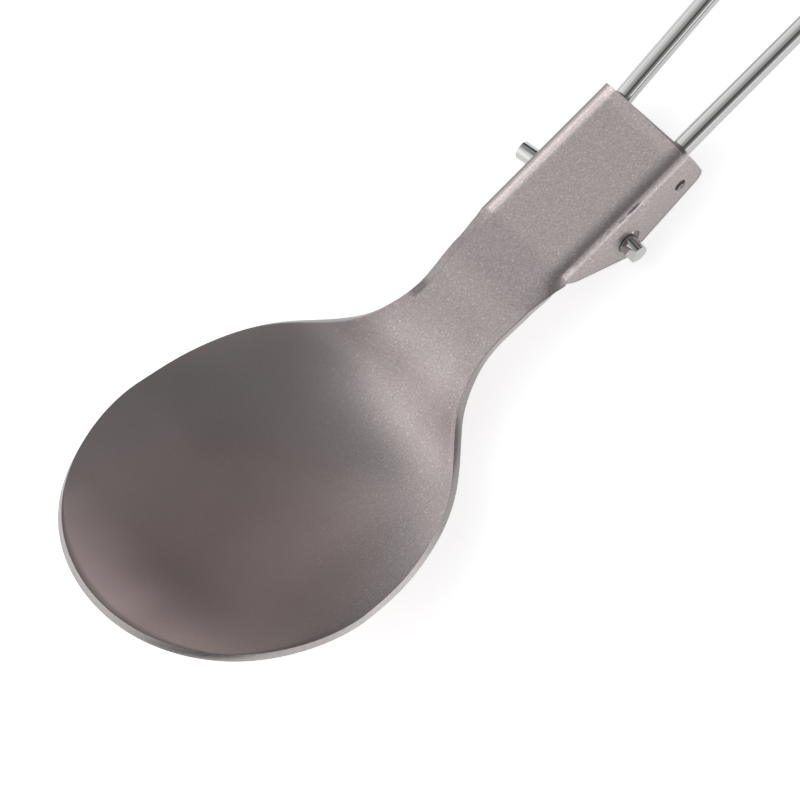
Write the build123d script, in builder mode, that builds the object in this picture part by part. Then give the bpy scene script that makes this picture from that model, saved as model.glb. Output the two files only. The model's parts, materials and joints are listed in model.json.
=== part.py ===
from build123d import *
from math import cos, radians, sin, sqrt, tan
import os

# Folding camping spoon: a stamped titanium blade and a bent wire handle.
# Millimetres. +Z is up and the bowl points along -X. Open, it stands on the
# bowl's underside and the two flange corners, on the plane Z = 0.

# Overall
handle_reach = 88.7            # hinge pin to the far end of the wire loop
web_height = 8.0               # top of the flat web above the table
sheet = 1.0                    # titanium sheet
wire = 2.4                     # steel wire diameter

# Bowl and neck
bowl_width = 41.6              # inside the rim
tip_reach = 73.1               # hinge pin to the inside of the bowl's tip
tip_length = 20.4              # the widest place to the tip
rim_flare_share = 0.3          # part of the sides' rise lost again at the rim
cup_start_reach = 20.0         # hinge pin to where the bowl begins
cup_full_reach = 30.0          # hinge pin to where it is fully cupped
neck_half = 6.6                # half width of the neck at the channel
neck_waist = 6.3
neck_shoulder = 9.3

# Middle line of the neck and bowl: hinge pin to the place, and the sheet's inside there
keel_heights = [(14.0, 8.0), (18.0, 7.77), (22.0, 7.22), (26.0, 5.66), (30.0, 2.95), (33.0, 1.38)]
keel_heights += [(36.0, 1.011), (40.0, 1.7), (47.0, 3.85), (53.0, 6.25), (60.0, 9.6), (67.0, 14.1)]
keel_heights += [(73.1, 20.1), (77.0, 24.8)]

# Sharpest bend across the bowl: hinge pin to the place, and its radius there
cup_radii = [(20.0, 18.0), (33.0, 18.0), (40.0, 23.3), (47.0, 28.6), (60.0, 31.0), (73.1, 26.0)]

# Hinge channel
channel_width = 15.3
bend_radius = 2.8              # outside of the folded edges
web_reach = 12.0               # hinge pin to the end edge of the web
level_reach = 14.0             # hinge pin to where the edges begin to fold
flange_knee_reach = 1.0        # hinge pin to the lowest corner of a flange
flange_taper_angle = 41.0
flange_edge_angle = 8.5
flange_end_round = 1.5
flange_knee_round = 1.0
web_edge_round = 0.2

# Hinge holes, looser than the wire, and the pin's seat in them
hole_clearance = 0.8
pin_drop = 4.9                 # top of the web down to the pin
hole_offset_x = 0.25           # the right pin lies against the bowl side of its hole
hole_offset_z = -0.1           # and against its top

# Pressed bumps that hold the handle open
bump_reach = 9.1
bump_drop = 3.9
bump_radius = 1.0
bump_height = 0.4
bump_top_share = 0.5
dimple_radius = 0.88
dimple_depth = 0.45

# Wire handle
arm_gap = 9.9                  # between the two arms' centres at the web's end
arm_spread_angle = 2.3         # each arm, outwards
arm_drop = 2.45                # top of the web down to the wire at the web's end
handle_rise_angle = 5.2
pin_bend_radius = 1.9
knee_radius = 55.0
loop_round_share = 0.95
pin_length_left = 2.85         # beyond the flange
pin_length_right = 2.1
pin_lean_angle = 6.4           # the left pin leans towards the bowl
pin_end_round = 0.3
pinch_length = 1.5
pinch_depth = 0.9

# Worked out
wire_radius = wire / 2
bowl_half = bowl_width / 2
channel_half = channel_width / 2
flange_face = channel_half - sheet
flat_half = channel_half - bend_radius
web_under = web_height - sheet
pivot_z = web_height - pin_drop


def eased(share):
    share = min(1, max(0, share))
    return share * share * (3 - 2 * share)


def curve_through(places):
    """Smoothest curve through (place, value) pairs, level at its first end."""
    at, values = zip(*places)
    spans = [b - a for a, b in zip(at, at[1:])]
    rates = [(b - a) / span for a, b, span in zip(values, values[1:], spans)]
    pivots, sides = [2 * spans[0]], [6 * rates[0]]
    for index in range(1, len(spans)):
        carried = spans[index - 1] / pivots[-1]
        pivots.append(2 * (spans[index - 1] + spans[index]) - carried * spans[index - 1])
        sides.append(6 * (rates[index] - rates[index - 1]) - carried * sides[-1])
    bends = [0] * len(at)
    for index in reversed(range(len(spans))):
        bends[index] = (sides[index] - spans[index] * bends[index + 1]) / pivots[index]

    def curve(place):
        index = max(0, min(len(spans) - 1, sum(place > start for start in at) - 1))
        span, low, high = spans[index], place - at[index], at[index + 1] - place
        curved = (bends[index] * high**3 + bends[index + 1] * low**3) / (6 * span)
        left = values[index] / span - bends[index] * span / 6
        right = values[index + 1] / span - bends[index + 1] * span / 6
        return curved + left * high + right * low

    return curve


keel_curve, cup_curve = curve_through(keel_heights), curve_through(cup_radii)
nudge = sheet / 100
tip_slope = (keel_curve(tip_reach + nudge) - keel_curve(tip_reach - nudge)) / (2 * nudge)
blade_reach = tip_reach + sheet * tip_slope / sqrt(1 + tip_slope**2)
pivot_x = (blade_reach - handle_reach) / 2
tip_x = pivot_x - tip_reach
level_x = pivot_x - level_reach
web_end_x = pivot_x + web_reach


def inside_height(x, y):
    """Height of the inside of the sheet anywhere on the bowl and neck."""
    reach = pivot_x - x
    cupped = eased((reach - cup_start_reach) / (cup_full_reach - cup_start_reach))
    radius = cup_curve(max(cup_start_reach, reach))
    rise = y**2 / (2 * radius) * (1 - rim_flare_share * (y / bowl_half) ** 2)
    keel = keel_curve(reach) if reach > level_reach else web_height
    return keel + cupped * rise


def slopes_at(x, y):
    slope_x = (inside_height(x + nudge, y) - inside_height(x - nudge, y)) / (2 * nudge)
    slope_y = (inside_height(x, y + nudge) - inside_height(x, y - nudge)) / (2 * nudge)
    return slope_x, slope_y


def skin(depth, margin):
    """Smooth skin of the bowl and neck, a depth into the sheet and past the rim."""
    columns, rows = 28, 17
    step_x = (level_x - tip_x + 2 * margin) / (columns - 1)
    step_y = (bowl_width + 2 * margin) / (rows - 1)
    points = []
    for column in range(columns):
        x = tip_x - margin + step_x * column
        points.append([])
        for row in range(rows):
            y = step_y * (row - (rows - 1) / 2)
            slope_x, slope_y = slopes_at(x, y)
            sink = depth / sqrt(1 + slope_x**2 + slope_y**2)
            points[-1].append((x + slope_x * sink, y + slope_y * sink, inside_height(x, y) - sink))
    return Face.make_surface_from_array_of_points(points, tol=sheet / 50, min_deg=3, max_deg=3)


# Outline of the rim, from the neck to the widest place and round the tip
widest_x = tip_x + tip_length
shank = level_x - widest_x
flank = [
    (level_x, neck_half),
    (widest_x + shank * 0.83, neck_waist),
    (widest_x + shank * 0.7, neck_half * 1.13),
    (widest_x + shank * 0.61, neck_shoulder),
    (widest_x + shank * 0.46, bowl_half * 0.714),
    (widest_x + shank * 0.28, bowl_half * 0.91),
    (widest_x + shank * 0.15, bowl_half * 0.975),
]
for angle, fullness in (0, 1), (22.5, 0.988), (45, 0.985), (67.5, 0.995):
    turn = radians(angle)
    flank.append((widest_x - tip_length * sin(turn), fullness * bowl_half * cos(turn)))
with BuildLine() as rim_outline:
    Spline(*flank, (tip_x, 0), *[(x, -y) for x, y in reversed(flank)])


def leaning_wall(share, level):
    """Where the wall square to the sheet at a place on the rim meets a level."""
    place, along = rim_outline.line @ share, rim_outline.line % share
    x, y = place.X, place.Y
    slope_x, slope_y = slopes_at(x, y)
    slope_out = slope_x * along.Y - slope_y * along.X
    slope_along = slope_x * along.X + slope_y * along.Y
    drop = max(-wall_grip, min(wall_grip, inside_height(x, y) - level))
    shift = slope_out * drop / (1 + slope_along**2)
    return x + shift * along.Y, y - shift * along.X


# Blank whose walls stand square to the sheet all round the rim
blank_low, blank_high = -sheet, inside_height(tip_x, 0) + sheet
blank_steps = 5
wall_grip = 1.5 * (blank_high - blank_low) / blank_steps
rim_stops = 28
rim_shares = [stop / rim_stops for stop in range(rim_stops + 1)]
with BuildPart() as blank:
    for step in range(blank_steps + 1):
        level = blank_low + (blank_high - blank_low) * step / blank_steps
        with BuildSketch(Plane.XY.offset(level)):
            with BuildLine():
                wall = [leaning_wall(share, level) for share in rim_shares[1:-1]]
                ends = (level_x, neck_half), (level_x, -neck_half)
                Spline(ends[0], *wall, ends[1])
                Line(ends[1], ends[0])
            make_face()
    loft(ruled=True)


def folded_web(half_width, angle):
    """Lines of a section of the web whose two edges are folded down by an angle."""
    outer = (half_width - flat_half) / sin(radians(angle))
    Line((-flat_half, web_height), (flat_half, web_height))
    Line((-flat_half, web_under), (flat_half, web_under))
    for side in (-1, 1):
        centre = (side * flat_half, web_height - outer)
        CenterArc(centre, outer, 90, -side * angle)
        CenterArc(centre, outer - sheet, 90, -side * angle)


# Side view of a flange: its lowest corner is rounded and touches the table
taper, edge_rise = radians(flange_taper_angle), radians(flange_edge_angle)
knee_x = pivot_x - flange_knee_reach
knee_z = flange_knee_round * (1 - cos((taper - edge_rise) / 2) / cos((taper + edge_rise) / 2))
bend_z = web_height - bend_radius
flange_x = knee_x - (bend_z - knee_z) / tan(taper)
flange_end_z = knee_z + (web_end_x - knee_x) * tan(edge_rise)

# Hinge channel
with BuildPart() as channel:
    with BuildSketch(Plane.XZ.offset(-channel_half)):
        with BuildLine():
            Line((flange_x, bend_z), (flange_x, web_height))
            Line((flange_x, web_height), (web_end_x, web_height))
            FilletPolyline(
                (web_end_x, web_height),
                (web_end_x, flange_end_z),
                (knee_x, knee_z),
                (flange_x, bend_z),
                radius=[flange_end_round, flange_knee_round],
            )
        make_face()
    extrude(amount=channel_width)
    with BuildSketch(Plane.YZ.offset(flange_x)):
        with BuildLine():
            folded_web(channel_half, 90)
            for side in (-1, 1):
                Line((side * channel_half, bend_z), (side * channel_half, -sheet))
                Line((side * channel_half, -sheet), (side * flange_face, -sheet))
                Line((side * flange_face, -sheet), (side * flange_face, bend_z))
        make_face()
    extrude(amount=web_end_x - flange_x, mode=Mode.INTERSECT)
    fillet(channel.edges().group_by(Axis.X)[-1], radius=web_edge_round)

    # Holes for the pins
    hole_radius = (wire + hole_clearance) / 2
    with Locations((pivot_x, channel_half, pivot_z)):
        Cylinder(hole_radius, 4 * sheet, rotation=(90, 0, 0), mode=Mode.SUBTRACT)
    with Locations((pivot_x + hole_offset_x, -channel_half, pivot_z + hole_offset_z)):
        Cylinder(hole_radius, 4 * sheet, rotation=(90, 0, 0), mode=Mode.SUBTRACT)

    # Bumps: a button inside each flange and its dimple outside
    bump_x, bump_z = pivot_x + bump_reach, web_height - bump_drop
    dimple_sphere = (dimple_radius**2 + dimple_depth**2) / (2 * dimple_depth)
    for side in (-1, 1):
        with Locations((bump_x, side * flange_face, bump_z)):
            Cone(
                bump_radius,
                bump_radius * bump_top_share,
                bump_height,
                rotation=(side * 90, 0, 0),
                align=(Align.CENTER, Align.CENTER, Align.MIN),
            )
        with Locations((bump_x, side * (channel_half + dimple_sphere - dimple_depth), bump_z)):
            Sphere(dimple_sphere, mode=Mode.SUBTRACT)

# Sections of the neck where its edges fold: place along the fold, half width, angle
fold_length = flange_x - level_x
fold_sections = [
    (0, neck_half, 2),
    (0.3, neck_half + (channel_half - neck_half) * 0.15, 18),
    (0.7, neck_half + (channel_half - neck_half) * 0.45, 52),
    (1, channel_half, 90),
]

# Blade
with BuildPart() as blade:
    # Bowl and neck: under the inside skin, less what is under the outside skin
    extrude(skin(0, wire), amount=bowl_width, dir=(0, 0, -1))
    extrude(skin(sheet, 2 * wire), amount=2 * bowl_width, dir=(0, 0, -1), mode=Mode.SUBTRACT)
    add(blank.part, mode=Mode.INTERSECT)

    # Folding edges
    for place, half_width, angle in fold_sections:
        with BuildSketch(Plane.YZ.offset(level_x + fold_length * place)):
            with BuildLine():
                folded_web(half_width, angle)
                outer = (half_width - flat_half) / sin(radians(angle))
                drop = outer * (1 - cos(radians(angle)))
                in_reach = half_width - sheet * sin(radians(angle))
                in_drop = drop + sheet * cos(radians(angle))
                for side in (-1, 1):
                    Line(
                        (side * half_width, web_height - drop),
                        (side * in_reach, web_height - in_drop),
                    )
            make_face()
    loft()
    add(channel.part)

# Wire handle
spread, rise = tan(radians(arm_spread_angle)), tan(radians(handle_rise_angle))
corner_y = arm_gap / 2 - spread * web_reach
loop_x = pivot_x + handle_reach - wire_radius
loop_y = arm_gap / 2 + spread * (loop_x - web_end_x)
loop_z = web_height - arm_drop + rise * (loop_x - web_end_x)
loop_round = loop_round_share * loop_y / tan(radians(90 + arm_spread_angle) / 2)
pin_left = channel_half + pin_length_left
pin_right = channel_half + pin_length_right
corner_x = pivot_x + spread * (channel_half - sheet / 2 - corner_y)
lean = spread + tan(radians(pin_lean_angle))
with BuildPart() as wire_handle:
    with BuildLine() as wire_path:
        FilletPolyline(
            (corner_x - lean * (pin_left - corner_y), pin_left, pivot_z),
            (corner_x, corner_y, pivot_z),
            (web_end_x, arm_gap / 2, web_height - arm_drop),
            (loop_x, loop_y, loop_z),
            (loop_x, -loop_y, loop_z),
            (web_end_x, -arm_gap / 2, web_height - arm_drop),
            (corner_x, -corner_y, pivot_z),
            (corner_x - spread * (pin_right - corner_y), -pin_right, pivot_z),
            radius=[
                pin_bend_radius,
                knee_radius,
                loop_round,
                loop_round,
                knee_radius,
                pin_bend_radius,
            ],
        )
    with BuildSketch(Plane(origin=wire_path.line @ 0, z_dir=wire_path.line % 0)):
        Circle(wire_radius)
    sweep()
    fillet(wire_handle.edges().group_by(Axis.Y)[-1], radius=pin_end_round)

    # Slanted nip at the end of the right-hand pin
    nip_x = corner_x - spread * (pin_right - corner_y) - wire_radius
    with BuildSketch(Plane.XY.offset(pivot_z - wire)):
        with BuildLine():
            Polyline(
                (nip_x - pinch_depth, -pin_right + 2 * pinch_length),
                (nip_x + 2 * pinch_depth, -pin_right - pinch_length),
                (nip_x - pinch_depth, -pin_right - pinch_length),
                close=True,
            )
        make_face()
    extrude(amount=2 * wire, mode=Mode.SUBTRACT)

os.makedirs("parts", exist_ok=True)
blade.part.label = "blade"
export_step(blade.part, "parts/blade.step")
wire_handle.part.label = "wire_handle"
export_step(wire_handle.part, "parts/wire_handle.step")
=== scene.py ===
import bpy
import json
import math
from mathutils import Matrix, Vector


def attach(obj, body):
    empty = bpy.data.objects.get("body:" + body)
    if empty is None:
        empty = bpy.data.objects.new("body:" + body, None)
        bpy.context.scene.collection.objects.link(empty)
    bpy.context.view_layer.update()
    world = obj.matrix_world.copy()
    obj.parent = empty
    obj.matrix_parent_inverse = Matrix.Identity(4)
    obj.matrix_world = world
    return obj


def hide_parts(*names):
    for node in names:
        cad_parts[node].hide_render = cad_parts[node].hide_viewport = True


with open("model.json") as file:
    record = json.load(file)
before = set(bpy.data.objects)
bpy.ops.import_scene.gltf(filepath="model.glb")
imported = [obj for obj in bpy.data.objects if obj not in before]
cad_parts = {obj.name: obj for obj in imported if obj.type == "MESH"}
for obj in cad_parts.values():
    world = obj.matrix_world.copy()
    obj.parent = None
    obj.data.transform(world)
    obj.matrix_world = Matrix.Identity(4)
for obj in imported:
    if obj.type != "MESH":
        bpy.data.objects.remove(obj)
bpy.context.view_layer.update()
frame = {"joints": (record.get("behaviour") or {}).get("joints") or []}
bpy.ops.object.select_all(action="DESELECT")
print("frame loaded")

mm = 0.001
hinge = Vector(frame["joints"][0]["pos_m"]) / mm  # the pins' axis, in millimetres


# the camera, at the photograph's angle

cameraView = {
    "pixelsPerMm": 8.54,
    "focalPixels": 8000,
    "pictureSide": 800,
    "sensor": 36,
    "tilt": 23.6,  # leans towards the right-hand flange
    "turn": 45,  # the spoon lies along the picture's diagonal
    "target": (-31.96, -3.39, 8.0),  # from the hinge, and from the table
    "clipStart": 0.01,
}


def addCamera():
    tilt, turn = math.radians(cameraView["tilt"]), math.radians(cameraView["turn"])
    along = Vector((1, 0, 0))
    down = Vector((0, -math.cos(tilt), -math.sin(tilt)))
    right = along * math.cos(turn) + down * math.sin(turn)
    up = along * math.sin(turn) - down * math.cos(turn)
    back = right.cross(up)
    x, y, z = cameraView["target"]
    target = Vector((hinge.x + x, y, z)) * mm
    distance = cameraView["focalPixels"] / cameraView["pixelsPerMm"] * mm
    bpy.ops.object.camera_add(location=target + back * distance)
    camera = bpy.context.object
    camera.name = "photoCamera"
    camera.rotation_euler = Matrix((right, up, back)).transposed().to_euler()
    camera.data.sensor_width = cameraView["sensor"]
    lens = cameraView["sensor"] * cameraView["focalPixels"] / cameraView["pictureSide"]
    camera.data.lens = lens
    camera.data.clip_start = cameraView["clipStart"]
    bpy.context.scene.camera = camera


addCamera()
print("camera placed")


def pickOnly(piece):
    bpy.ops.object.select_all(action="DESELECT")
    piece.select_set(True)
    bpy.context.view_layer.objects.active = piece


def applyModifiers(piece):
    pickOnly(piece)
    for modifier in list(piece.modifiers):
        bpy.ops.object.modifier_apply(modifier=modifier.name)


def smoothCurve(places):
    # smoothest curve through (place, value) pairs, level at its first end
    at, values = zip(*places)
    spans = [b - a for a, b in zip(at, at[1:])]
    rates = [(b - a) / span for a, b, span in zip(values, values[1:], spans)]
    pivots, sides = [2 * spans[0]], [6 * rates[0]]
    for index in range(1, len(spans)):
        carried = spans[index - 1] / pivots[-1]
        pivots.append(2 * (spans[index - 1] + spans[index]) - carried * spans[index - 1])
        sides.append(6 * (rates[index] - rates[index - 1]) - carried * sides[-1])
    bends = [0] * len(at)
    for index in reversed(range(len(spans))):
        bends[index] = (sides[index] - spans[index] * bends[index + 1]) / pivots[index]

    def curve(place):
        place = min(at[-1], max(at[0], place))
        index = max(0, min(len(spans) - 1, sum(place > start for start in at) - 1))
        span, low, high = spans[index], place - at[index], at[index + 1] - place
        curved = (bends[index] * high**3 + bends[index + 1] * low**3) / (6 * span)
        left = values[index] / span - bends[index] * span / 6
        right = values[index + 1] / span - bends[index + 1] * span / 6
        return curved + left * high + right * low

    return curve


def eased(share):
    share = min(1, max(0, share))
    return share * share * (3 - 2 * share)


# the blade, one stamped sheet from the tip of the bowl to the end of the channel

blade = {
    "sheet": 1.0,
    "webHeight": 8.0,
    # reaches are measured from the hinge, towards the bowl unless a note says otherwise
    "keelHeights": [  # middle line of the sheet's inside
        (14.0, 8.0), (18.0, 7.77), (22.0, 7.22), (26.0, 5.66), (30.0, 2.95), (33.0, 1.38),
        (36.0, 1.011), (40.0, 1.7), (47.0, 3.85), (53.0, 6.25), (60.0, 9.6), (67.0, 14.1),
        (73.1, 20.1), (77.0, 24.8),
    ],
    "cupRadii": [  # bend across the bowl
        (20.0, 18.0), (33.0, 18.0), (40.0, 23.3), (47.0, 28.6), (60.0, 31.0), (73.1, 26.0),
    ],
    "rimFlare": 0.3,
    "cupStart": 20.0,
    "cupFull": 30.0,
    "bowlHalf": 20.8,
    "tipReach": 73.1,
    "tipLength": 20.4,  # the widest place to the tip
    "tipFullness": [(0, 1), (22.5, 0.992), (45, 0.995), (67.5, 1.0), (90, 1)],
    "halfWidths": [
        (14.0, 6.6), (20.6, 6.3), (25.6, 7.46), (29.1, 9.3), (34.9, 14.85), (41.9, 18.93),
        (46.9, 20.28), (52.7, 20.8),
    ],
    # the neck leans off centre, and the tip leans the other way
    "neckSway": [(14.0, -0.5), (18.0, -0.55), (24.0, -0.45), (30.0, -0.1), (34.0, 0)],
    "tipSway": 0.25,
    "neckReach": 14.0,  # where the edges begin to fold
    "foldReach": 8.6,  # where they are nearly down
    "foldRight": [(8.6, 7.95), (9.7, 7.65), (10.9, 7.45), (12.5, 7.25), (14.0, 7.1)],
    "foldLeft": [(8.6, 7.84), (9.7, 7.0), (10.9, 6.52), (12.5, 6.22), (14.0, 6.1)],
    "foldTurn": [(8.6, 61.2), (9.7, 38), (10.9, 17), (12.5, 7), (14.0, 0.5)],
    "channelHalf": 7.65,
    "bendRadius": 2.8,
    "webReach": 12.0,  # towards the handle, to the web's end edge
    "kneeReach": 1.0,
    "kneeRound": 1.0,
    "endRound": 1.5,
    "skewStart": 2,  # towards the handle: from here on the web is a little askew
    "endSkew": 0.037,
    "endShift": 0.07,
    "taperAngle": 41.0,
    "edgeAngle": 8.5,
    "rows": 44,  # grid lines from the keel to one rim
    "tipColumns": 46,
    "bowlColumns": 78,
    "foldColumns": 27,
    "channelColumns": 64,
    "endTurns": (12, 24, 36, 48, 60, 72, 82, 90),  # columns round the flanges' end corners
    "edgeRound": 0.12,
    "edgeAngleLimit": 50,
    "smoothAngle": 32,
}
flatHalf = blade["channelHalf"] - blade["bendRadius"]
widestReach = blade["tipReach"] - blade["tipLength"]
taper, edgeRise = math.radians(blade["taperAngle"]), math.radians(blade["edgeAngle"])
kneeHalf = (taper + edgeRise) / 2
kneeZ = blade["kneeRound"] * (1 - math.cos((taper - edgeRise) / 2) / math.cos(kneeHalf))
bendZ = blade["webHeight"] - blade["bendRadius"]
keelCurve, cupCurve = smoothCurve(blade["keelHeights"]), smoothCurve(blade["cupRadii"])
fullnessCurve, halfCurve = smoothCurve(blade["tipFullness"]), smoothCurve(blade["halfWidths"])
swayCurve, foldTurn = smoothCurve(blade["neckSway"]), smoothCurve(blade["foldTurn"])
foldRight, foldLeft = smoothCurve(blade["foldRight"]), smoothCurve(blade["foldLeft"])


def insideHeight(reach, y):
    # height of the inside of the sheet over the bowl and neck
    cupped = eased((reach - blade["cupStart"]) / (blade["cupFull"] - blade["cupStart"]))
    rise = y**2 / (2 * cupCurve(reach)) * (1 - blade["rimFlare"] * (y / blade["bowlHalf"]) ** 2)
    return keelCurve(reach) + cupped * rise


def flangeEdge(x):
    # height of a flange's lower edge, with its corners rounded
    knee, end = -blade["kneeReach"], blade["webReach"]
    left = kneeZ + (knee - x) * math.tan(taper)
    right = kneeZ + (x - knee) * math.tan(edgeRise)
    height = max(left, right)
    radius = blade["kneeRound"]
    centreX = knee + radius * math.sin((taper - edgeRise) / 2) / math.cos(kneeHalf)
    if centreX - radius * math.sin(taper) < x < centreX + radius * math.sin(edgeRise):
        height = radius - math.sqrt(radius**2 - (x - centreX) ** 2)
    radius = blade["endRound"]
    centreX = end - radius
    centreZ = kneeZ + (centreX - knee) * math.tan(edgeRise) + radius / math.cos(edgeRise)
    if x > centreX + radius * math.sin(edgeRise):
        height = centreZ - math.sqrt(max(0, radius**2 - (x - centreX) ** 2))
    return height


def foldPoint(x, across, radius):
    # a place on the web or its folded edges, by its distance from the middle along the sheet
    side, distance = math.copysign(1, across), abs(across)
    turn = min(max(0, distance - flatHalf) / radius, math.pi / 2)
    straight = max(0, distance - flatHalf - radius * math.pi / 2)
    y = min(distance, flatHalf) + radius * math.sin(turn)
    z = blade["webHeight"] - radius * (1 - math.cos(turn)) - straight
    return hinge.x + x, side * y, z


def tipPlace(p, q):
    # the round end of the bowl, from its widest place (p 0) to the tip (p -1)
    back, out = -p * math.sqrt(1 - q * q / 2), q * math.sqrt(1 - p * p / 2)
    ring = math.hypot(back, out)
    if ring > 0:
        turn = math.degrees(math.asin(min(1, back / ring)))
        out *= 1 + (fullnessCurve(turn) - 1) * ring
    reach, y = widestReach + blade["tipLength"] * back, blade["bowlHalf"] * out
    return hinge.x - reach, y + blade["tipSway"] * back, insideHeight(reach, y)


def neckColumn(reach, shares):
    half, sway = halfCurve(reach), swayCurve(reach)
    return [(hinge.x - reach, q * half + sway, insideHeight(reach, q * half)) for q in shares]


def foldColumn(reach, shares):
    # across the neck where its edges are folding down
    turn, left, right = math.radians(foldTurn(reach)), foldLeft(reach), foldRight(reach)
    column = []
    for q in shares:
        across = q * (left + right) / 2 + (left - right) / 2
        radius = ((left if across > 0 else right) - flatHalf) / turn
        column.append(foldPoint(-reach, across, radius))
    return column


def channelColumn(x, shares):
    low, radius = flangeEdge(x), blade["bendRadius"]
    bent = math.acos(max(0, 1 - (blade["webHeight"] - low) / radius))
    width = flatHalf + radius * bent + max(0, bendZ - low)
    column = [foldPoint(x, q * width, radius) for q in shares]
    askew = eased((x - blade["skewStart"]) / (blade["webReach"] - blade["skewStart"]))
    shift, skew = blade["endShift"], blade["endSkew"]
    return [(px - askew * (shift + skew * y), y, z) for px, y, z in column]


def bladeGrid():
    # columns of places, from the tip to the web's end
    rows, neck, fold = blade["rows"], blade["neckReach"], blade["foldReach"]
    shares = [row / rows for row in range(-rows, rows + 1)]
    count = blade["tipColumns"]
    columns = [[tipPlace(step / count - 1, q) for q in shares] for step in range(count)]
    count = blade["bowlColumns"]
    for step in range(count):  # rest of the bowl, and neck
        columns.append(neckColumn(widestReach + (neck - widestReach) * step / count, shares))
    count = blade["foldColumns"]
    for step in range(count):
        columns.append(foldColumn(neck - (neck - fold) * step / count, shares))
    count, end, corner = blade["channelColumns"], blade["webReach"], blade["endRound"]
    places = [-fold + (end + fold - corner) * step / count for step in range(count + 1)]
    places += [end - corner * (1 - math.sin(math.radians(turn))) for turn in blade["endTurns"]]
    return columns + [channelColumn(x, shares) for x in places]


def buildBlade():
    columns = bladeGrid()
    count = len(columns[0])
    bpy.ops.mesh.primitive_grid_add(
        x_subdivisions=len(columns) - 1, y_subdivisions=count - 1, size=1,
    )
    piece = bpy.context.object
    piece.name = "spoonBlade"
    for index, vertex in enumerate(piece.data.vertices):
        x, y, z = columns[index % len(columns)][index // len(columns)]
        vertex.co = (x * mm, y * mm, z * mm)
    piece.data.materials.append(None)  # the sheet's
    piece.data.materials.append(None)  # its cut edge's
    piece.location = (0, 0, 0)
    piece.data.update()
    bpy.ops.object.shade_smooth()
    shell = piece.modifiers.new("sheet", "SOLIDIFY")
    shell.thickness = blade["sheet"] * mm
    shell.offset = -1
    shell.use_even_offset = True
    shell.use_quality_normals = True
    shell.material_offset_rim = 1
    edges = piece.modifiers.new("edges", "BEVEL")
    edges.width = blade["edgeRound"] * mm
    edges.segments = 3
    edges.limit_method = "ANGLE"
    edges.angle_limit = math.radians(blade["edgeAngleLimit"])
    applyModifiers(piece)
    return piece


spoonBlade = buildBlade()
print("blade bent", len(spoonBlade.data.vertices), "points")


# the flanges' pin holes and pressed bumps, from the hinge and the table

holes = {
    "radius": 1.6,
    "right": (0.25, 3.0),
    "left": (0.0, 3.1),
    "softening": 0.1,
    "past": 0.3,  # how far the tool goes beyond the sheet
}
bumps = {
    "x": 9.1,
    "z": 4.1,
    "radius": 0.95,
    "height": 0.4,
    "root": 0.3,  # how deep the button stands in the sheet
    "dimpleRadius": 0.88,
    "dimpleDepth": 0.45,
    "dimpleMouth": (0.4, 1.02),  # how far the tool goes beyond the sheet, and its widening there
    "rings": 7,
    "topRadius": 0.01,
}


def addCutter(rings, x, z, sides=56):
    # a round tool along Y, from (place, radius) rings
    bpy.ops.object.select_all(action="DESELECT")
    bpy.ops.mesh.primitive_circle_add(
        vertices=sides, radius=rings[0][1] * mm, fill_type="NGON",
        location=(x * mm, rings[0][0] * mm, z * mm), rotation=(math.pi / 2, 0, 0),
    )
    tool = bpy.context.object
    bpy.ops.object.transform_apply(location=False, rotation=True, scale=True)
    bpy.ops.object.mode_set(mode="EDIT")
    for (place, radius), (nextPlace, nextRadius) in zip(rings, rings[1:]):
        step, growth = (nextPlace - place) * mm, nextRadius / radius
        bpy.ops.mesh.extrude_region_move(TRANSFORM_OT_translate={"value": (0, step, 0)})
        bpy.ops.transform.resize(
            value=(growth, 1, growth), center_override=(x * mm, nextPlace * mm, z * mm),
        )
    bpy.ops.mesh.select_all(action="SELECT")
    bpy.ops.mesh.normals_make_consistent(inside=False)
    bpy.ops.object.mode_set(mode="OBJECT")
    bpy.ops.object.transform_apply(location=True)
    return tool


def cut(piece, tool, operation):
    step = piece.modifiers.new("cut", "BOOLEAN")
    step.operation = operation
    step.solver = "EXACT"
    step.object = tool
    applyModifiers(piece)
    bpy.data.objects.remove(tool)


def capRings(centreY, direction, radius, depth):
    # a shallow dome along Y, from its rim to its top
    sphere, steps = (radius**2 + depth**2) / (2 * depth), bumps["rings"]
    reach = math.asin(radius / sphere)
    rings = []
    for step in range(steps + 1):
        turn = reach * (1 - step / steps)
        height = sphere * math.cos(turn) - sphere + depth
        ring = max(bumps["topRadius"], sphere * math.sin(turn))
        rings.append((centreY + direction * height, ring))
    return rings


def cutHole(side, inner, outer):
    soft, past, radius = holes["softening"], side * holes["past"], holes["radius"]
    mouth = radius + soft + holes["past"]
    rings = [(inner - past, mouth), (inner + side * soft, radius)]
    rings += [(outer - side * soft, radius), (outer + past, mouth)]
    x, z = holes["left" if side > 0 else "right"]
    cut(spoonBlade, addCutter(rings, hinge.x + x, z), "DIFFERENCE")


def pressBump(side, inner, outer):
    # a button inside the flange, and its dimple outside
    x, z = hinge.x + bumps["x"], bumps["z"]
    button = [(inner + side * bumps["root"], bumps["radius"])]
    button += capRings(inner, -side, bumps["radius"], bumps["height"])
    cut(spoonBlade, addCutter(button, x, z), "UNION")
    past, widening = bumps["dimpleMouth"]
    dimple = [(outer + side * past, bumps["dimpleRadius"] * widening)]
    dimple += capRings(outer, -side, bumps["dimpleRadius"], bumps["dimpleDepth"])
    cut(spoonBlade, addCutter(dimple, x, z), "DIFFERENCE")


for side in (-1, 1):
    inner = side * (blade["channelHalf"] - blade["sheet"])
    outer = side * blade["channelHalf"]
    cutHole(side, inner, outer)
    pressBump(side, inner, outer)
pickOnly(spoonBlade)
bpy.ops.object.shade_smooth_by_angle(angle=math.radians(blade["smoothAngle"]))
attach(spoonBlade, "blade")
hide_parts("blade")
print("blade cut", len(spoonBlade.data.polygons), "faces")


# the handle, one bent wire

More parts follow.
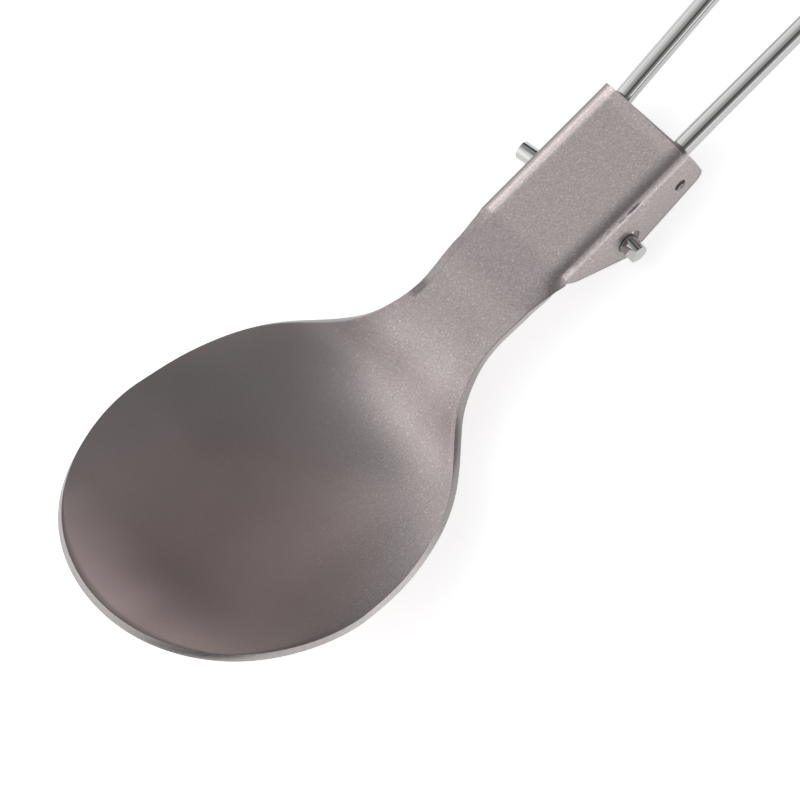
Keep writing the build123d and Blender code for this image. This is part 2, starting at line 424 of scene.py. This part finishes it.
wire = {
    "radius": 1.2,
    "pinHeight": 3.1,
    "webEnd": 12.0,
    "armGap": 9.9,  # between the arms' middles at the web's end
    "armHeight": 5.55,  # there
    "spreadAngle": 2.3,
    "riseAngle": 5.2,
    "reach": 87.5,  # hinge to the middle of the loop's far side
    "cornerX": 0.108,
    "leftEnd": 10.5,
    "rightEnd": 9.75,
    "leftSkew": 0.112,  # the left pin also leans back
    "bends": (1.9, 55, 7.28, 7.28, 55, 1.9),
    "bendStep": 5,  # degrees
    "sideSteps": 8,
    "endRound": 0.28,
    "endAngleLimit": 60,
    "smoothAngle": 35,
    "nipPlace": (-1.15, -9.75, 3.0),  # a place on the flat at the right pin's end
    "nipFacing": (-0.78, -0.13, 0.62),
    "nipTool": 4,
    "mergeWithin": 0.01,
}


def roundedPath(corners, radii):
    # a line through the corners, each rounded to its radius
    path = [corners[0]]
    for before, corner, after, radius in zip(corners, corners[1:], corners[2:], radii):
        towards, away = (before - corner).normalized(), (after - corner).normalized()
        half = towards.angle(away) / 2
        middle = corner + (towards + away).normalized() * (radius / math.sin(half))
        first = corner + towards * (radius / math.tan(half)) - middle
        last = corner + away * (radius / math.tan(half)) - middle
        steps = max(3, math.ceil(math.degrees(math.pi - 2 * half) / wire["bendStep"]))
        for index in range(steps + 1):
            path.append(middle + first.slerp(last, index / steps).normalized() * radius)
    return path + [corners[-1]]


def wirePath():
    spread = math.tan(math.radians(wire["spreadAngle"]))
    rise = math.tan(math.radians(wire["riseAngle"]))
    gap, beyond = wire["armGap"] / 2, wire["reach"] - wire["webEnd"]
    cornerY = gap - spread * wire["webEnd"]
    leftX = wire["cornerX"] - (spread + wire["leftSkew"]) * (wire["leftEnd"] - cornerY)
    rightX = wire["cornerX"] - spread * (wire["rightEnd"] - cornerY)
    arm = [
        (wire["cornerX"], cornerY, wire["pinHeight"]),
        (wire["webEnd"], gap, wire["armHeight"]),
        (wire["reach"], gap + spread * beyond, wire["armHeight"] + rise * beyond),
    ]
    corners = [(leftX, wire["leftEnd"], wire["pinHeight"]), *arm]
    corners += [(x, -y, z) for x, y, z in reversed(arm)]
    corners.append((rightX, -wire["rightEnd"], wire["pinHeight"]))
    return roundedPath([Vector(corner) for corner in corners], wire["bends"])


def nipEnd(piece):
    place, facing = Vector(wire["nipPlace"]), Vector(wire["nipFacing"])
    middle = place + facing.normalized() * (wire["nipTool"] / 2)
    bpy.ops.mesh.primitive_cube_add(
        size=wire["nipTool"] * mm,
        location=((hinge.x + middle.x) * mm, middle.y * mm, middle.z * mm),
        rotation=facing.to_track_quat("Z", "Y").to_euler(),
    )
    tool = bpy.context.object
    bpy.ops.object.transform_apply(location=True, rotation=True, scale=True)
    cut(piece, tool, "DIFFERENCE")


def buildWire():
    path = wirePath()
    bpy.ops.object.select_all(action="DESELECT")
    bpy.ops.curve.primitive_nurbs_path_add(location=(0, 0, 0))
    piece = bpy.context.object
    piece.name = "wireHandle"
    piece.data.splines.clear()
    line = piece.data.splines.new("POLY")
    line.points.add(len(path) - 1)
    for point, place in zip(line.points, path):
        point.co = ((hinge.x + place.x) * mm, place.y * mm, place.z * mm, 1)
    piece.data.bevel_depth = wire["radius"] * mm
    piece.data.bevel_resolution = wire["sideSteps"]
    piece.data.use_fill_caps = True
    bpy.ops.object.convert(target="MESH")
    piece = bpy.context.object
    bpy.ops.object.mode_set(mode="EDIT")
    bpy.ops.mesh.select_all(action="SELECT")
    bpy.ops.mesh.remove_doubles(threshold=wire["mergeWithin"] * mm)
    bpy.ops.mesh.normals_make_consistent(inside=False)
    bpy.ops.object.mode_set(mode="OBJECT")
    ends = piece.modifiers.new("ends", "BEVEL")
    ends.width = wire["endRound"] * mm
    ends.segments = 3
    ends.limit_method = "ANGLE"
    ends.angle_limit = math.radians(wire["endAngleLimit"])
    applyModifiers(piece)
    nipEnd(piece)
    return piece


wireHandle = buildWire()
pickOnly(wireHandle)
bpy.ops.object.shade_smooth_by_angle(angle=math.radians(wire["smoothAngle"]))
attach(wireHandle, "handle")
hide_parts("wire_handle")
print("wire bent", len(wireHandle.data.polygons), "faces")


class Shade:
    # a node's output that Python's operators work on
    def __init__(self, tree, socket=None):
        self.tree, self.socket = tree, socket

    def node(self, kind, settings=None, output=0, **values):
        # a value's name is its socket's, or i and its number
        made = self.tree.nodes.new(kind)
        for name, value in (settings or {}).items():
            if name == "stops":
                ramp = made.color_ramp.elements
                while len(ramp) < len(value):
                    ramp.new(1)
                for element, (place, colour) in zip(ramp, value):
                    element.position = place
                    element.color = colour
            else:
                setattr(made, name, value)
        for name, value in values.items():
            key = int(name[1:]) if name[1:].isdigit() else name.replace("_", " ")
            if isinstance(value, Shade):
                self.tree.links.new(value.socket, made.inputs[key])
            else:
                made.inputs[key].default_value = value
        return Shade(self.tree, made.outputs[output])

    def maths(self, operation, first, second):
        return self.node("ShaderNodeMath", {"operation": operation}, i0=first, i1=second)

    def __add__(self, other):
        return self.maths("ADD", self, other)

    def __radd__(self, other):
        return self.maths("ADD", other, self)

    def __sub__(self, other):
        return self.maths("SUBTRACT", self, other)

    def __rsub__(self, other):
        return self.maths("SUBTRACT", other, self)

    def __mul__(self, other):
        return self.maths("MULTIPLY", self, other)

    def __rmul__(self, other):
        return self.maths("MULTIPLY", other, self)


def newMaterial(name, colour, roughness, metallic):
    material = bpy.data.materials.new(name)
    material.use_nodes = True
    tree = material.node_tree
    shader = tree.nodes["Principled BSDF"]
    shader.inputs["Base Color"].default_value = (*colour, 1)
    shader.inputs["Roughness"].default_value = roughness
    shader.inputs["Metallic"].default_value = metallic
    return material, Shade(tree), shader.inputs


def linkTo(value, socket):
    value.tree.links.new(value.socket, socket)


def coordinate(place, axis):
    return place.node("ShaderNodeSeparateXYZ", output=axis, Vector=place)


def noise(place, scale, detail):
    return place.node("ShaderNodeTexNoise", Vector=place, Scale=scale, Detail=detail)


def mixedColour(share, first, second):
    # a mix node's sockets share their names, so they go by number
    settings = {"data_type": "RGBA"}
    return share.node("ShaderNodeMix", settings, output=2, i0=share, i6=first, i7=second)


def rising(value, start, end):
    # from 0 at the start to 1 at the end
    settings = {"interpolation_type": "SMOOTHSTEP"}
    return value.node("ShaderNodeMapRange", settings, Value=value, From_Min=start, From_Max=end)


def within(value, low, high, soft):
    # 1 between the two, with soft ends
    before = rising(value, low - soft / 2, low + soft / 2)
    return before * (1 - rising(value, high - soft / 2, high + soft / 2))


def changed(tone, mask, change):
    # so many times as light where the mask is 1
    return tone * (1 + mask * (change - 1))


def scaled(colour, tone, shade):
    return shade.node("ShaderNodeVectorMath", {"operation": "SCALE"}, i0=colour, Scale=tone)


def addTexture(finish, sockets, patches, grain):
    # a roughness that varies in patches, and a fine bump
    spread = finish["roughnessSpread"]
    linkTo(finish["roughness"] - spread / 2 + spread * patches, sockets["Roughness"])
    strength, height = finish["bump"]
    bump = grain.node("ShaderNodeBump", Height=grain, Strength=strength, Distance=height * mm)
    linkTo(bump, sockets["Normal"])


# the sheet's blasted titanium; places are in millimetres from the hinge and the table

titanium = {
    "colour": (0.408, 0.363, 0.361),
    "deepColour": (0.460, 0.368, 0.362),  # at the bowl's middle
    "deepMiddle": (-62, -2.5),
    "deepReach": 23.7,  # how far its colour goes
    "roughness": 0.42,
    "roughnessSpread": 0.1,
    "bump": (0.35, 0.03),  # strength, height
    "grain": (5200, 3.0, 0.9),  # scale, detail, depth
    "blotches": (160, 4.0, 0.1),
    "speckScale": 0.7,  # share of the grain's
    "glintSpecks": (0.66, 0.78, 0.3),  # painted glints: where in the noise they start and end, and how bright
    "calm": (-50, -28),  # deep in the bowl the grain is fainter: along the bowl,
    "calmSlant": 0.8,  # aslant,
    "calmShare": 0.2,  # and how much of it is left
    # painted shade and light that follow the edges, by share of the way from the tip and from the
    # right rim
    # painted shade: a darker line inside the rim near the tip
    "tipRimShade": {"tip": (0.004, 0.009), "rim": (0.01, 0.026), "fade": (-62, -50), "change": 0.72},
    # painted shade: a thin dark line along the neck's right rim
    "neckRimShade": {"rim": (0.006, 0.022), "fade": (-31, -28), "change": 0.78},
    # painted light: a lighter ribbon inside the neck's right rim
    "neckLightRibbon": {"x": (-33.6, -28.8, 2), "rim": (0.012, 0.046, 0.012), "change": 1.12},
    "leftEdge": 0.925,  # inner side of the strip along the neck's left edge
    # painted shade: the strip along the neck's left edge, the crease at its inner side and the
    # dent where it starts are darker
    "leftStripShade": {"x": (-22, -9.4, 0.5), "blur": 0.004, "change": 0.97},
    "leftCreaseShade": {"half": 0.006, "blur": 0.01, "change": 0.88},
    "leftDentShade": {"x": (-22.2, -19.9, 1), "blur": 0.01, "change": 0.6},
    # soft patches of painted light and shade: x, y and z ranges, softness, how much lighter
    "patches": [
        ((-8.8, 20), (5.2, 6.42), (6.5, 9), 0.6, 1.5),  # painted highlight along the left bend
        ((-8.6, 20), (5.85, 6.25), (6.5, 9), 0.3, 1.22),
        # painted shade on the outside of the left bend
        ((-9.2, 20), (6.7, 9), (5.9, 9), 0.3, 0.58),
        ((-8.4, 20), (-7.12, -6.5), (5, 9), 0.22, 1.55),  # painted highlight along the right bend
        ((-8.5, 20), (-5.6, 5.6), (7, 9), 1.6, 1.12),  # painted light on the web
        ((10.2, 20), (-5.5, 6), (6, 9), 1.2, 1.12),  # and on its end
        # painted shade along the web's end edge
        ((11.82, 20), (-6.6, 7.2), (5, 9), 0.12, 0.55),
        ((-31.5, -26.5), (-7, 1), (2, 6), 3, 1.2),  # painted highlight at the neck's foot
        ((-90, -66), (-3, 15), (5, 25), 5, 1.25),  # painted light at the tip
        ((-29, -23), (-10.5, -5), None, 3.5, 0.84),  # painted shade along the neck's right edge
        ((-35, -28.8), (-15, -7.5), None, 5, 1.22),
        ((-40, -35), (-9, -2), None, 5, 0.86),
        ((-60, -41), (-24, -10.8), None, 7, 0.85),  # painted shade on the bowl's right wall
        ((-51, -36), (8.5, 26), None, 9, 0.86),  # and on its left wall, near the neck
        ((-34.5, -24.5), (2, 14), None, 5, 1.14),
        ((-25, -19), (-5.5, 7), None, 4, 0.9),
        ((7.6, 10.6), (-7.55, -6.9), (3.5, 5.6), 0.08, 0.18),  # shade in the dimples
        ((7.6, 10.6), (6.9, 7.55), (3.5, 5.6), 0.08, 0.18),
    ],
    # scratches and nicks, and a painted highlight: middle, half sizes, angle in plan, how much
    # lighter
    "marks": [
        ((3.2, -6.86), (1.3, 0.13), 0, 0.3),
        ((1.3, -6.86), (0.7, 0.1), 0, 0.6),
        ((-0.9, -6.8), (0.4, 0.08), 0, 0.75),
        ((-6.5, -4.25), (1.05, 0.09), 54, 1.16),
        ((10.6, 0.55), (0.5, 0.07), 4, 0.88),
        ((-5.9, 7.38), (0.8, 0.14), 0, 0.5),
        # a painted highlight where the neck's right edge starts to fold
        ((-7.5, -6.75), (1.3, 0.3), 0, 1.35),
    ],
    "markBlur": (0.3, 1),
    "markFloor": (6, 6.2),  # they are on the outside, above this height
}


def edgeTones(tone, x, sheetPlace):
    fromTip, fromRim = coordinate(sheetPlace, "X"), coordinate(sheetPlace, "Y")
    # painted shade: a darker line inside the rim near the tip
    look = titanium["tipRimShade"]
    byRim = 1 - rising(fromRim, *look["rim"])
    rim = byRim.maths("MAXIMUM", 1 - rising(fromTip, *look["tip"]), byRim)
    tone = changed(tone, rim * (1 - rising(x, *look["fade"])), look["change"])
    # painted shade: a thin dark line along the neck's right rim
    look = titanium["neckRimShade"]
    rim = 1 - rising(fromRim, *look["rim"])
    tone = changed(tone, rim * rising(x, *look["fade"]), look["change"])
    # painted light: a lighter ribbon inside the neck's right rim
    look = titanium["neckLightRibbon"]
    tone = changed(tone, within(x, *look["x"]) * within(fromRim, *look["rim"]), look["change"])
    # painted shade on the strip along the neck's left edge, its crease and its dent
    edge, look, crease = titanium["leftEdge"], titanium["leftStripShade"], titanium["leftCreaseShade"]
    along = within(x, *look["x"])
    beyond = rising(fromRim, edge - look["blur"], edge + look["blur"])
    tone = changed(tone, along * beyond, look["change"])
    line = within(fromRim, edge - crease["half"], edge + crease["half"], crease["blur"])
    tone = changed(tone, along * line, crease["change"])
    look = titanium["leftDentShade"]
    beyond = rising(fromRim, edge - look["blur"], edge + look["blur"])
    return changed(tone, within(x, *look["x"]) * beyond, look["change"])


def markTones(tone, x, y, z):
    # scratches and nicks, and one painted highlight
    for (middleX, middleY), (halfLength, halfWidth), angle, change in titanium["marks"]:
        across, up = math.cos(math.radians(angle)), math.sin(math.radians(angle))
        lengthways = ((x - middleX) * across + (y - middleY) * up) * (1 / halfLength)
        sideways = ((y - middleY) * across - (x - middleX) * up) * (1 / halfWidth)
        away = lengthways * lengthways + sideways * sideways
        mask = (1 - rising(away, *titanium["markBlur"])) * rising(z, *titanium["markFloor"])
        tone = changed(tone, mask, change)
    return tone


def makeTitanium():
    look = titanium
    material, shade, sockets = newMaterial("blastedTitanium", look["colour"], look["roughness"], 1)
    place = shade.node("ShaderNodeTexCoord", output="Object")
    x = coordinate(place, "X") * (1 / mm) - hinge.x
    y, z = coordinate(place, "Y") * (1 / mm), coordinate(place, "Z") * (1 / mm)
    scale, detail, depth = look["grain"]
    grain = noise(place, scale, detail)
    glintSpecks = noise(place, scale * look["speckScale"], 0.0)
    lively = rising(x - y * look["calmSlant"], *look["calm"])
    lively = look["calmShare"] + (1 - look["calmShare"]) * lively
    scale, detail, blotchDepth = look["blotches"]
    blotches = noise(place, scale, detail)
    tone = 1 + (grain - 0.5) * depth * lively + (blotches - 0.5) * blotchDepth
    # painted glints: lighter specks in the grain
    start, end, sparkle = look["glintSpecks"]
    tone = tone + rising(glintSpecks, start, end) * sparkle * lively
    # painted light and shade in soft patches
    for alongRange, acrossRange, heightRange, soft, change in look["patches"]:
        mask = within(x, *alongRange, soft) * within(y, *acrossRange, soft)
        if heightRange:
            mask = mask * within(z, *heightRange, soft)
        tone = changed(tone, mask, change)
    tone = edgeTones(tone, x, shade.node("ShaderNodeTexCoord", output="UV"))
    tone = markTones(tone, x, y, z)
    (middleX, middleY), reach = look["deepMiddle"], look["deepReach"]
    away = (x - middleX) * (x - middleX) + (y - middleY) * (y - middleY)
    shallow = rising(away * (1 / reach**2), 0, 1)
    tint = mixedColour(shallow, (*look["deepColour"], 1), (*look["colour"], 1))
    linkTo(scaled(tint, tone, shade), sockets["Base Color"])
    addTexture(look, sockets, blotches, grain)
    return material


# the sheared edge all round the sheet

cutEdge = {
    "colour": (0.53, 0.50, 0.49),
    "roughness": 0.34,
    "roughnessSpread": 0.16,
    "bump": (0.3, 0.03),
    "grain": (3000, 3.0, 0.5),  # scale, detail, depth
    "tip": ((-60, -50), 0.74),  # painted shade at the tip, the foot and the neck: where its change fades, and how much lighter it is
    "foot": ((-42, -22, 8), 0.6),
    "neck": ((-26, -20), 0.84),
}


def makeCutEdge():
    look = cutEdge
    material, shade, sockets = newMaterial("shearedEdge", look["colour"], look["roughness"], 1)
    place = shade.node("ShaderNodeTexCoord", output="Object")
    scale, detail, depth = look["grain"]
    grain = noise(place, scale, detail)
    x = coordinate(place, "X") * (1 / mm) - hinge.x
    tone = 1 + (grain - 0.5) * depth
    # painted shade along the cut edge at the tip, the foot and the neck
    fade, change = look["tip"]
    tone = changed(tone, 1 - rising(x, *fade), change)
    extent, change = look["foot"]
    tone = changed(tone, within(x, *extent), change)
    fade, change = look["neck"]
    tone = changed(tone, rising(x, *fade), change)
    linkTo(scaled(look["colour"], tone, shade), sockets["Base Color"])
    addTexture(look, sockets, grain, grain)
    return material


# the wire's polished steel

steel = {
    "colour": (0.5, 0.5, 0.495),
    "roughness": 0.07,
    "roughnessSpread": 0.06,
    "bump": (0.12, 0.02),
    "grain": (900, 4.0),  # scale, detail
}


def makeSteel():
    look = steel
    material, shade, sockets = newMaterial("polishedWire", look["colour"], look["roughness"], 1)
    grain = noise(shade.node("ShaderNodeTexCoord", output="Object"), *look["grain"])
    addTexture(look, sockets, grain, grain)
    return material


spoonBlade.data.materials[0] = makeTitanium()
spoonBlade.data.materials[1] = makeCutEdge()
wireHandle.data.materials.clear()
wireHandle.data.materials.append(makeSteel())
print("materials made")


# the table and the light; their lengths are in metres

table = {
    "colour": (0.86, 0.86, 0.86),
    "roughness": 0.7,
    "specular": 0.1,
    "glow": 0.64,  # towards the camera and in reflections only
    "size": 3,
    "drop": 0.00005,
}
sky = {
    "strength": 2,
    "background": 0.5,  # seen by the camera, times the strength
    "bigLightTowards": (-0.604, 0.720, 0.342),  # the large soft light stands at the far left
    "sideLight": [  # share of the way towards the big light, brightness
        (0.0, 0.24), (0.2, 0.27), (0.35, 0.05), (0.45, 0.0), (0.55, 0.0), (0.6, 0.14),
        (0.65, 0.19), (0.7, 0.17), (0.75, 0.26), (0.8, 0.57), (0.85, 0.9), (0.9, 1.07),
        (0.95, 1.2), (1.0, 1.44),
    ],
    "topLight": [  # height in the sky, brightness
        (0.0, 0.0), (0.15, 0.0), (0.35, 0.1), (0.55, 0.37), (0.75, 0.05), (1.0, 0.48),
    ],
}
strip = {
    "place": (-0.02, -0.80, 0.15),
    "aim": (-0.02, 0, 0),
    "length": 0.9,
    "height": 0.22,
    "brightness": 1.3,
}


def addFloor():
    bpy.ops.object.select_all(action="DESELECT")
    bpy.ops.mesh.primitive_plane_add(size=table["size"], location=(0, 0, -table["drop"]))
    floor = bpy.context.object
    floor.name = "table"
    material, shade, sockets = newMaterial("paleTable", table["colour"], table["roughness"], 0)
    sockets["Specular IOR Level"].default_value = table["specular"]
    rays = ("Is Camera Ray", "Is Glossy Ray", "Is Transmission Ray")
    byCamera, byGloss, byGlass = [shade.node("ShaderNodeLightPath", output=ray) for ray in rays]
    seen = shade.maths("MINIMUM", byCamera + byGloss + byGlass, 1)
    linkTo(seen * table["glow"], sockets["Emission Strength"])
    sockets["Emission Color"].default_value = (1, 1, 1, 1)
    floor.data.materials.append(material)


def lightRamp(shade, stops, place):
    # brightness by place; a ramp's colours end at 1, so the strength brings them up
    greys = [(at, (*[light / sky["strength"]] * 3, 1)) for at, light in stops]
    return shade.node("ShaderNodeValToRGB", {"stops": greys}, Fac=place)


def addSky():
    world = bpy.data.worlds.new("studio")
    bpy.context.scene.world = world
    world.use_nodes = True
    shade = Shade(world.node_tree)
    background = world.node_tree.nodes["Background"].inputs
    towards = shade.node("ShaderNodeTexCoord", output="Generated")
    settings, aim = {"operation": "DOT_PRODUCT"}, sky["bigLightTowards"]
    facing = shade.node("ShaderNodeVectorMath", settings, output="Value", i0=towards, i1=aim)
    side = lightRamp(shade, sky["sideLight"], facing * 0.5 + 0.5)
    top = lightRamp(shade, sky["topLight"], coordinate(towards, "Z"))
    soft = shade.node("ShaderNodeVectorMath", {"operation": "ADD"}, i0=side, i1=top)
    byCamera = shade.node("ShaderNodeLightPath", output="Is Camera Ray")
    shown = mixedColour(byCamera, soft, (*[sky["background"]] * 3, 1))
    linkTo(shown, background["Color"])
    background["Strength"].default_value = sky["strength"]


def addStrip():
    bpy.ops.object.light_add(type="AREA", location=strip["place"])
    lamp = bpy.context.object
    lamp.name = "rightStrip"
    lamp.data.shape = "RECTANGLE"
    lamp.data.size, lamp.data.size_y = strip["length"], strip["height"]
    lamp.data.energy = strip["brightness"] * math.pi * strip["length"] * strip["height"]
    facing = Vector(strip["aim"]) - Vector(strip["place"])
    lamp.rotation_euler = facing.to_track_quat("-Z", "Y").to_euler()


addFloor()
addSky()
addStrip()
bpy.context.scene.view_settings.view_transform = "Standard"
print("table and light placed")
